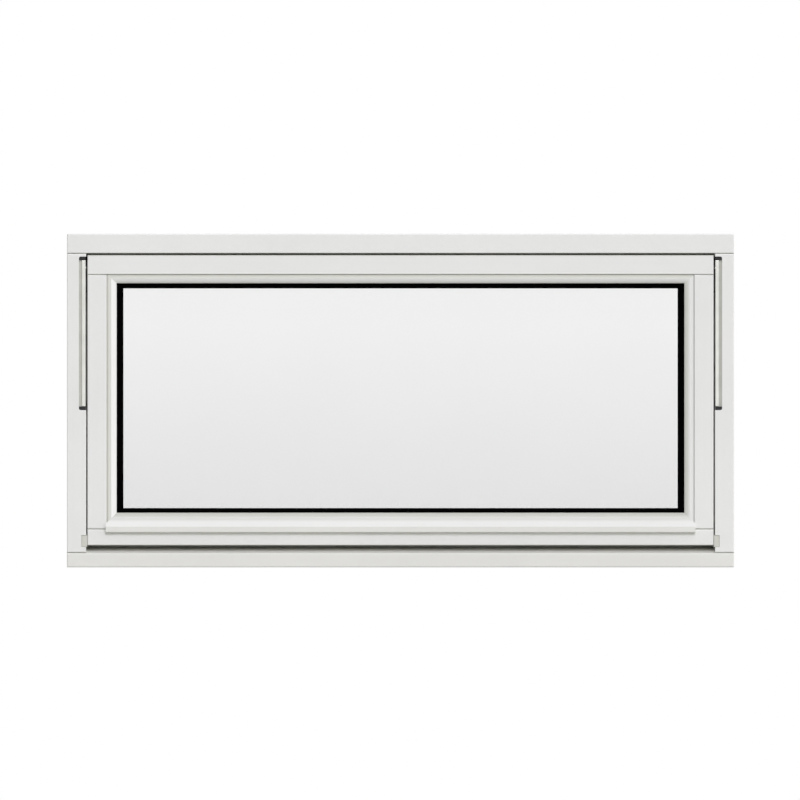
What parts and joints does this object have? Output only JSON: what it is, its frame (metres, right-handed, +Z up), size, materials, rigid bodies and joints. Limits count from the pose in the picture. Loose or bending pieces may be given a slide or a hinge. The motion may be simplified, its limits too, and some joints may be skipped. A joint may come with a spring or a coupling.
{
  "type": "top hung awning window",
  "caption": "White painted timber window with a top hung, outward opening sash: beaded double glazing, black gaskets, side stays, sloping sill and inside handle.",
  "frame": {"origin": "middle of the sill's underside, half way through the frame's depth", "axes": "+X along the sill, -Y to the outside, +Y into the room, +Z up"},
  "size_m": [1.2, 0.121, 0.6],
  "materials": {
    "painted_timber": "satin",
    "painted_bead": "satin",
    "clear_glass": "polished",
    "black_rubber": "matte",
    "black_spacer": "matte",
    "edge_sealant": "matte",
    "zinc_plated_steel": "satin",
    "blackened_steel": "satin",
    "light_alloy": "satin",
    "black_nylon": "matte",
    "grey_nylon": "satin",
    "satin_nickel": "satin"
  },
  "bodies": {
    "root": {"frame_head": "painted_timber", "frame_sill": "painted_timber", "frame_jamb_left": "painted_timber", "frame_jamb_right": "painted_timber", "sash_top_rail": "painted_timber", "sash_bottom_rail": "painted_timber", "sash_stile_left": "painted_timber", "sash_stile_right": "painted_timber", "bead_top": "painted_bead", "bead_bottom": "painted_bead", "bead_left": "painted_bead", "bead_right": "painted_bead", "outer_pane": "clear_glass", "inner_pane": "clear_glass", "outer_glazing_gasket": "black_rubber", "inner_glazing_gasket": "black_rubber", "weather_seal": "black_rubber", "spacer_bar": "black_spacer", "edge_seal": "edge_sealant", "setting_block_left": "black_nylon", "setting_block_right": "black_nylon", "stay_track_left": "zinc_plated_steel", "stay_track_right": "zinc_plated_steel", "stay_arm_left": "light_alloy", "stay_arm_right": "light_alloy", "sash_bracket_left": "blackened_steel", "sash_bracket_right": "blackened_steel", "stay_cap_top_left": "black_nylon", "stay_cap_top_right": "black_nylon", "stay_cap_bottom_left": "black_nylon", "stay_cap_bottom_right": "black_nylon", "run_up_block_left": "grey_nylon", "run_up_block_right": "grey_nylon", "handle_rose": "satin_nickel", "handle_lever": "satin_nickel"}
  },
  "joints": []
}
